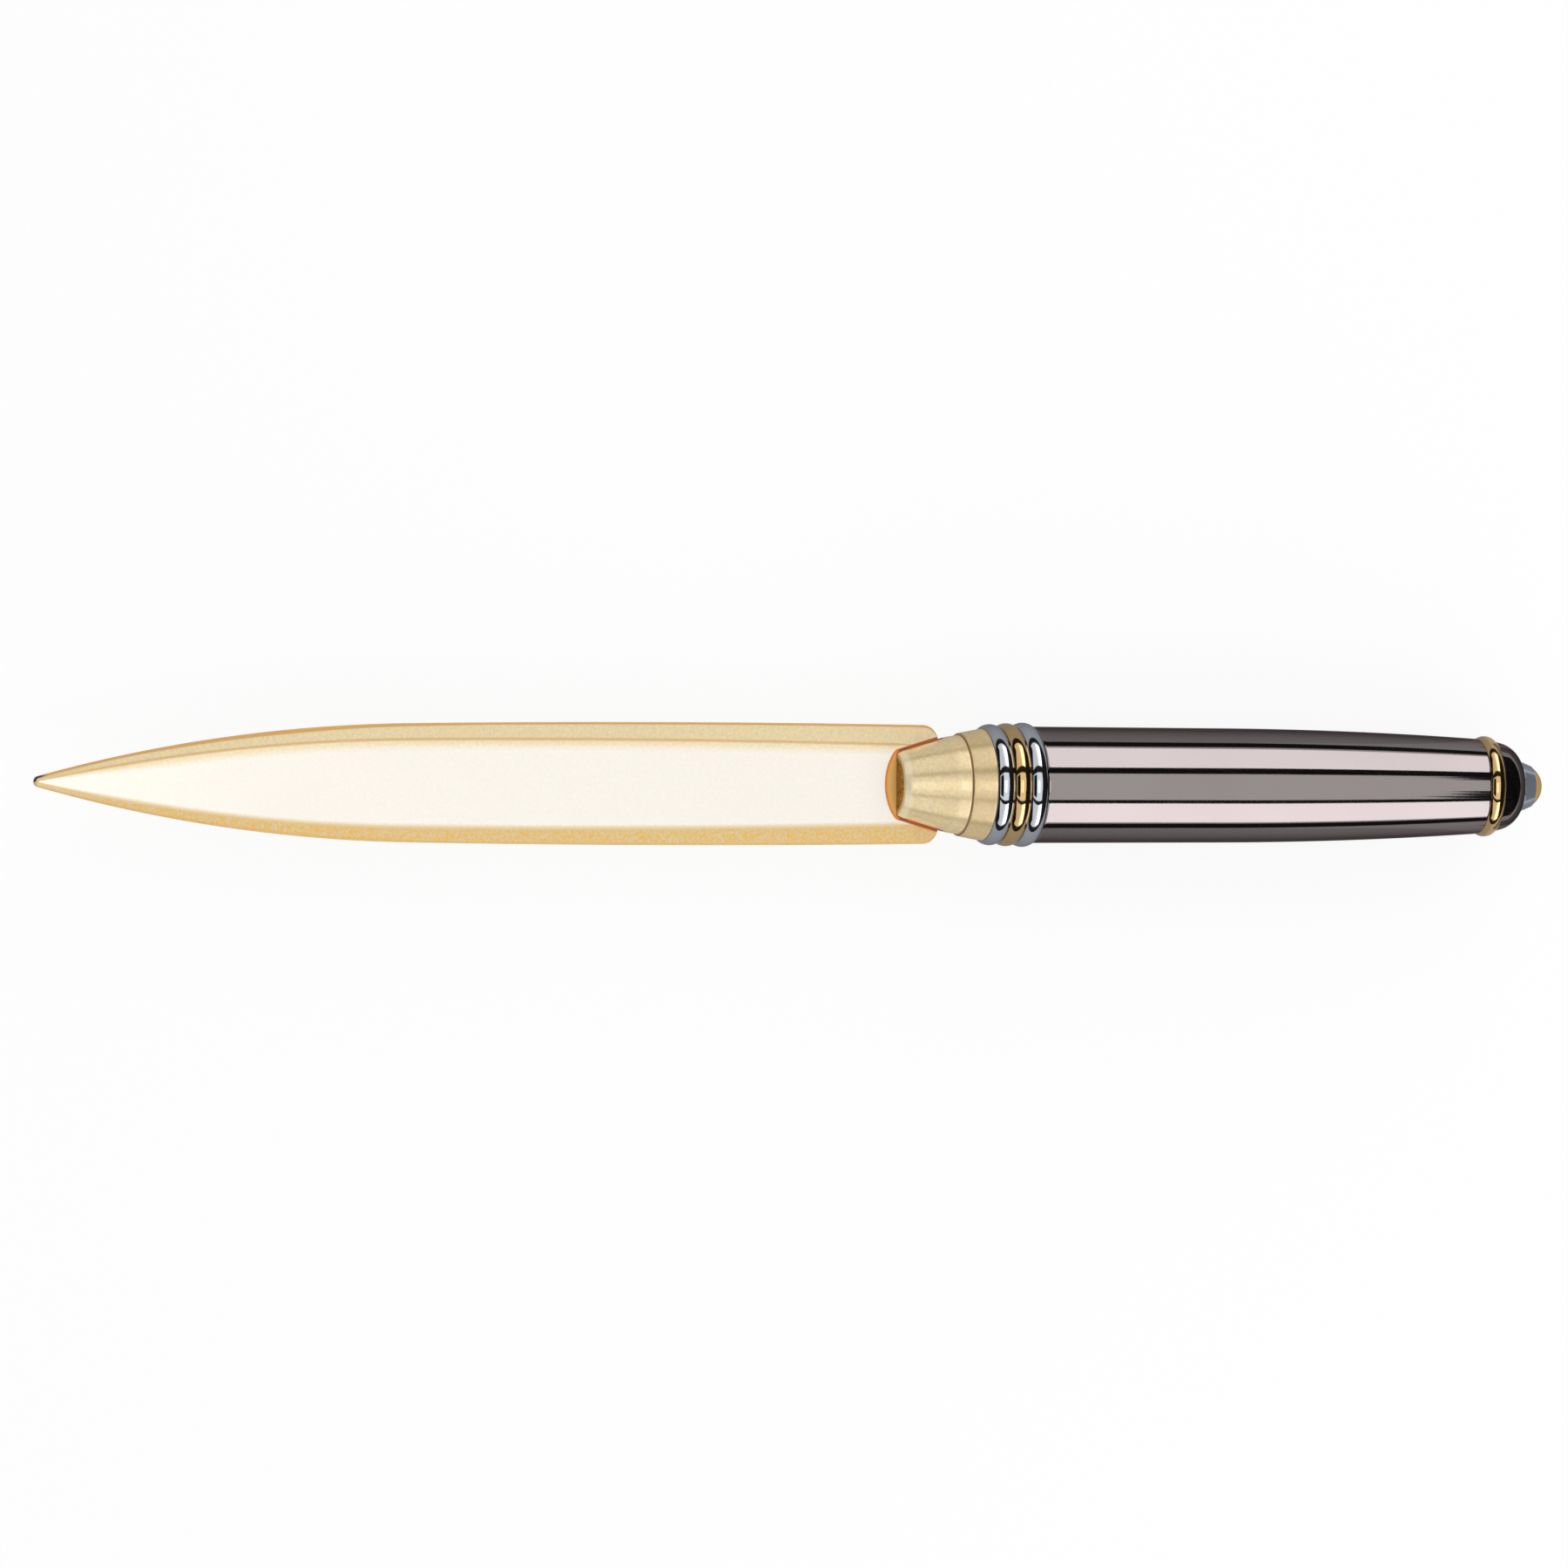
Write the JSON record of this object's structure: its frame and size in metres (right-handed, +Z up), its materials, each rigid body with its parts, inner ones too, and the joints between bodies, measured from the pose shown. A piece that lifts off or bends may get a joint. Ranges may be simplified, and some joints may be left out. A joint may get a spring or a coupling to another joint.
{
  "type": "letter opener",
  "caption": "Letter opener: flat double-bevelled gold blade in a slotted nose cone, bead rings, and a tapered gunmetal pen-style barrel with a domed tail and button finial.",
  "frame": {"origin": "centre of the bounding box in plan, on the desk surface under the rings", "axes": "+X along the axis from the blade's point to the tail button, +Y across the blade, +Z up, square to the blade's flat"},
  "size_m": [0.203, 0.016, 0.0159],
  "materials": {
    "satin_gold": "satin gold plate on brass",
    "polished_gold": "polished gold plate on brass",
    "polished_chrome": "polished chrome",
    "gunmetal": "polished gunmetal plate on brass",
    "turned_brass": "plain turned brass",
    "pin_steel": "plain ground steel"
  },
  "bodies": {
    "handle": {"barrel": "gunmetal", "front_bush": "turned_brass", "tail_bush": "turned_brass"},
    "front_rings": {"front_ring": "polished_chrome", "middle_ring": "polished_gold", "rear_ring": "polished_chrome"},
    "blade_unit": {"blade": "satin_gold", "nose_cone": "satin_gold", "tang_pin": "pin_steel", "collar": "satin_gold"},
    "tail_trim": {"tail_ring": "polished_gold", "tail_dome": "gunmetal", "tail_cone": "polished_chrome"},
    "finial": {"finial_screw": "polished_gold"}
  },
  "joints": [
    {"name": "rings_draw", "type": "slide", "parent": "handle", "child": "front_rings", "axis": [-1, 0, 0], "range_m": [0, 0.0075]},
    {"name": "blade_unscrew", "type": "hinge", "parent": "front_rings", "child": "blade_unit", "pos_m": [0, 0, 0.00796], "axis": [-1, 0, 0], "range_deg": [0, 2160]},
    {"name": "tail_draw", "type": "slide", "parent": "handle", "child": "tail_trim", "axis": [1, 0, 0], "range_m": [0, 0.0056]},
    {"name": "finial_unscrew", "type": "hinge", "parent": "tail_trim", "child": "finial", "pos_m": [0.095, 0, 0.00796], "axis": [1, 0, 0], "range_deg": [0, 2880]}
  ],
  "couplings": [
    {"joint": "blade_unscrew", "follows": "rings_draw", "rad_per_m": 5026.5},
    {"joint": "finial_unscrew", "follows": "tail_draw", "rad_per_m": 8976}
  ]
}
